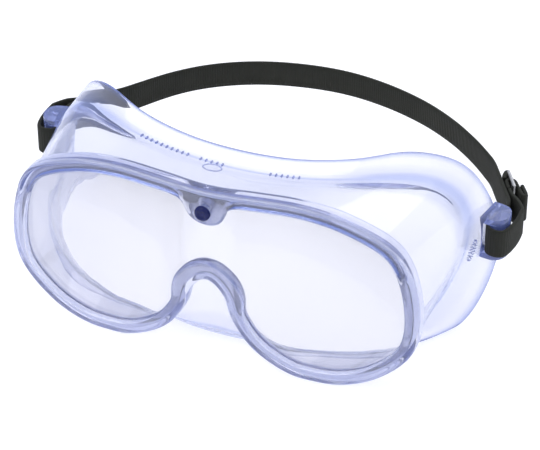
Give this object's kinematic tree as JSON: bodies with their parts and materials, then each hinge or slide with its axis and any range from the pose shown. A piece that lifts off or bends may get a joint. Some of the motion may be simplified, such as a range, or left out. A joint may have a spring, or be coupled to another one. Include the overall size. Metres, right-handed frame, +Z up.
{
  "type": "safety goggles",
  "caption": "Clear soft-frame safety goggles with a curved one-piece lens, a press stud, moulded strap lugs and an elastic head strap with a metal slide.",
  "frame": {"origin": "on the table, under the middle of the whole object", "axes": "+Z up, -Y the way the wearer looks, +X the wearer's left"},
  "size_m": [0.1816, 0.1331, 0.0718],
  "materials": {
    "frame_pvc": "clear soft PVC with a faint blue tint, glossy",
    "lens": "clear polycarbonate, polished",
    "stud": "dark navy, glossy",
    "strap": "ribbed woven elastic, matt",
    "slide": "plated steel, satin"
  },
  "bodies": {
    "goggle": {"goggle_frame": "frame_pvc", "lens": "lens", "stud_collar": "frame_pvc", "strap_loop_right": "strap", "strap_loop_left": "strap"},
    "stud": {"lens_stud": "stud"},
    "strap": {"head_band": "strap", "strap_return": "strap", "strap_sewn_end": "strap"},
    "adjuster": {"slide_buckle": "slide", "strap_wrap": "strap", "strap_hem": "strap", "strap_tail": "strap"}
  },
  "joints": [
    {"name": "strap_swing", "type": "hinge", "parent": "goggle", "child": "strap", "pos_m": [0, -0.0055, 0.038], "axis": [1, 0, 0], "range_deg": [-20, 20]},
    {"name": "adjuster_slide", "type": "slide", "parent": "strap", "child": "adjuster", "axis": [-0.5, 0.866, 0], "range_m": [0, 0.012]},
    {"name": "stud_pull", "type": "slide", "parent": "goggle", "child": "stud", "axis": [0, -1, 0], "range_m": [0, 0.009]}
  ]
}
